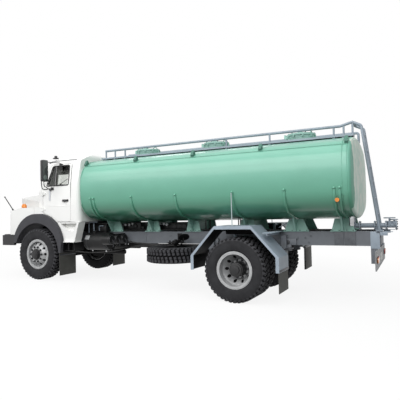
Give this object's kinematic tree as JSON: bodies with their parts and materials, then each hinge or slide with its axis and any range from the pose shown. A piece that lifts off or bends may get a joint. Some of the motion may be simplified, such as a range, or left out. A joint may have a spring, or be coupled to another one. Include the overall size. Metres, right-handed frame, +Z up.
{
  "type": "tanker truck",
  "caption": "Bonneted two-axle tanker truck with an oval tank, hollow cab with opening doors, steered front wheels, manhole lids and a rear outlet pipe.",
  "frame": {"origin": "on the ground, under the middle of the vehicle's length and width", "axes": "+X forward, +Y to the vehicle's left, +Z up"},
  "size_m": [8.9154, 2.892, 3.2737],
  "materials": {
    "frame_paint": "semi-gloss blue-grey paint",
    "axle_paint": "matt black paint",
    "engine_iron": "dark painted casting",
    "tyre": "black rubber",
    "rim_silver": "silver paint",
    "tank_green": "gloss mint green paint",
    "saddle_green": "grey-green paint",
    "lug_green": "dark green paint",
    "rail_grey": "light blue-grey paint",
    "cab_white": "gloss white paint",
    "glass": "tinted glass",
    "trim_black": "matt black",
    "flare_rubber": "dark grey moulding",
    "lamp_glass": "clear lens",
    "bumper_black": "satin black paint",
    "tank_black": "satin black paint",
    "guard_grey": "light blue-grey paint",
    "flap_rubber": "black rubber",
    "board_grey": "grey paint",
    "lens_red": "red lens",
    "lens_amber": "amber lens",
    "rod_pale": "pale paint"
  },
  "bodies": {
    "chassis": {"chassis_frame": "frame_paint", "front_axle": "axle_paint", "rear_axle": "axle_paint", "leaf_springs": "axle_paint", "driveline": "axle_paint", "engine": "engine_iron", "spare_tyre": "tyre", "tank_shell": "tank_green", "tank_saddles": "saddle_green", "manhole_collars": "saddle_green", "lifting_lugs": "lug_green", "walkway": "rail_grey", "rails_and_ladder": "rail_grey", "cab_shell": "cab_white", "cab_glass": "glass", "cab_interior": "trim_black", "front_wings": "cab_white", "arch_flares": "flare_rubber", "grille": "trim_black", "headlamps": "lamp_glass", "front_bumper": "bumper_black", "step_skirts": "cab_white", "step_boxes": "tank_black", "drum_tanks": "tank_black", "air_tanks": "tank_black", "spare_carrier": "tank_black", "rear_mudguards": "guard_grey", "mudflaps": "flap_rubber", "lamp_board": "board_grey", "tail_lamps": "lens_red", "amber_lamps": "lens_amber", "discharge_pipe": "rail_grey", "stay_rods": "rod_pale", "marker_rods": "trim_black"},
    "knuckle_left": {"knuckle_left": "axle_paint"},
    "knuckle_right": {"knuckle_right": "axle_paint"},
    "tie_rod": {"tie_rod": "axle_paint"},
    "front_wheel_left": {"wheel_front_left": "rim_silver", "tyre_front_left": "tyre"},
    "front_wheel_right": {"wheel_front_right": "rim_silver", "tyre_front_right": "tyre"},
    "rear_wheels_left": {"wheels_rear_left": "rim_silver", "tyres_rear_left": "tyre"},
    "rear_wheels_right": {"wheels_rear_right": "rim_silver", "tyres_rear_right": "tyre"},
    "steering_wheel": {"steering_wheel": "trim_black"},
    "door_left": {"door_left": "cab_white", "door_glass_left": "glass", "mirror_left": "trim_black"},
    "door_right": {"door_right": "cab_white", "door_glass_right": "glass", "mirror_right": "trim_black"},
    "bonnet": {"bonnet": "cab_white"},
    "lid_front": {"manhole_lid_front": "saddle_green"},
    "lid_middle": {"manhole_lid_middle": "saddle_green"},
    "lid_rear": {"manhole_lid_rear": "saddle_green"}
  },
  "joints": [
    {"name": "steer_left", "type": "hinge", "parent": "chassis", "child": "knuckle_left", "pos_m": [3.11265, 0.885, 0.59], "axis": [0.0366, 0, 0.9993], "range_deg": [-32, 32]},
    {"name": "steer_right", "type": "hinge", "parent": "chassis", "child": "knuckle_right", "pos_m": [3.11265, -0.885, 0.59], "axis": [0.0366, 0, 0.9993], "range_deg": [-32, 32]},
    {"name": "tie_rod_pivot", "type": "hinge", "parent": "knuckle_left", "child": "tie_rod", "pos_m": [2.89366, 0.885, 0.48494], "axis": [0.0366, 0, 0.9993], "range_deg": [-32, 32]},
    {"name": "steering_wheel_turn", "type": "hinge", "parent": "chassis", "child": "steering_wheel", "pos_m": [2.8357, 0.555, 2.0461], "axis": [-0.765, 0, 0.6441], "range_deg": [-480, 480]},
    {"name": "front_wheel_left_spin", "type": "hinge", "parent": "knuckle_left", "child": "front_wheel_left", "pos_m": [3.11265, 1.03, 0.59], "axis": [0, 1, 0], "continuous": true},
    {"name": "front_wheel_right_spin", "type": "hinge", "parent": "knuckle_right", "child": "front_wheel_right", "pos_m": [3.11265, -1.03, 0.59], "axis": [0, 1, 0], "continuous": true},
    {"name": "rear_wheels_left_spin", "type": "hinge", "parent": "chassis", "child": "rear_wheels_left", "pos_m": [-1.81064, 1.062, 0.59], "axis": [0, 1, 0], "continuous": true},
    {"name": "rear_wheels_right_spin", "type": "hinge", "parent": "chassis", "child": "rear_wheels_right", "pos_m": [-1.81064, -1.062, 0.59], "axis": [0, 1, 0], "continuous": true},
    {"name": "door_left_hinge", "type": "hinge", "parent": "chassis", "child": "door_left", "pos_m": [2.99162, 1.134, 1.74019], "axis": [-0.0366, 0, -0.9993], "range_deg": [0, 70]},
    {"name": "door_right_hinge", "type": "hinge", "parent": "chassis", "child": "door_right", "pos_m": [2.99162, -1.134, 1.74019], "axis": [0.0366, 0, 0.9993], "range_deg": [0, 70]},
    {"name": "bonnet_hinge", "type": "hinge", "parent": "chassis", "child": "bonnet", "pos_m": [3.36716, 0, 2.02165], "axis": [0, -1, 0], "range_deg": [0, 45]},
    {"name": "lid_front_hinge", "type": "hinge", "parent": "chassis", "child": "lid_front", "pos_m": [1.1549, 0, 3.0122], "axis": [0, 1, 0], "range_deg": [0, 100]},
    {"name": "lid_middle_hinge", "type": "hinge", "parent": "chassis", "child": "lid_middle", "pos_m": [-0.58893, 0, 3.07599], "axis": [0, 1, 0], "range_deg": [0, 100]},
    {"name": "lid_rear_hinge", "type": "hinge", "parent": "chassis", "child": "lid_rear", "pos_m": [-2.41271, 0, 3.14272], "axis": [0, 1, 0], "range_deg": [0, 100]}
  ],
  "couplings": [
    {"joint": "steer_right", "follows": "steer_left", "ratio": 1},
    {"joint": "tie_rod_pivot", "follows": "steer_left", "ratio": -1},
    {"joint": "steering_wheel_turn", "follows": "steer_left", "ratio": 15}
  ]
}
